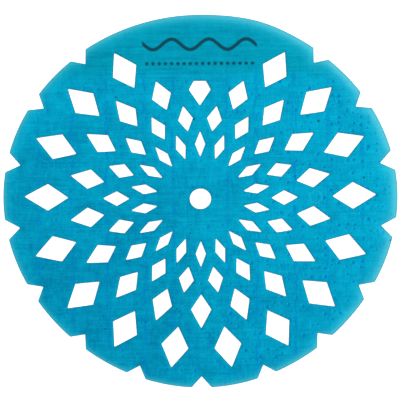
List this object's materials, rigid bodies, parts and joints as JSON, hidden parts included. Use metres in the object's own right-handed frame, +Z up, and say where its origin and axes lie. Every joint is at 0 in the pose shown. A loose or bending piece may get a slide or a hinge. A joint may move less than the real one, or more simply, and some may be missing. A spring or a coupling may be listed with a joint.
{
  "type": "urinal deodorizer screen",
  "caption": "Round flexible screen mat pierced by rings of diamond drain holes round a hub hole, with a notched petal rim and a solid panel with an arched top.",
  "frame": {"origin": "middle of the outline on the underside, 1.1 mm towards -Y from the hub hole's middle", "axes": "+Z up through the flat sheet, +Y towards the solid panel, +X to the right seen from above"},
  "size_m": [0.1906, 0.18, 0.003],
  "materials": {
    "soft_plastic": "satin translucent soft plastic"
  },
  "bodies": {
    "root": {"screen_mat": "soft_plastic"}
  },
  "joints": []
}
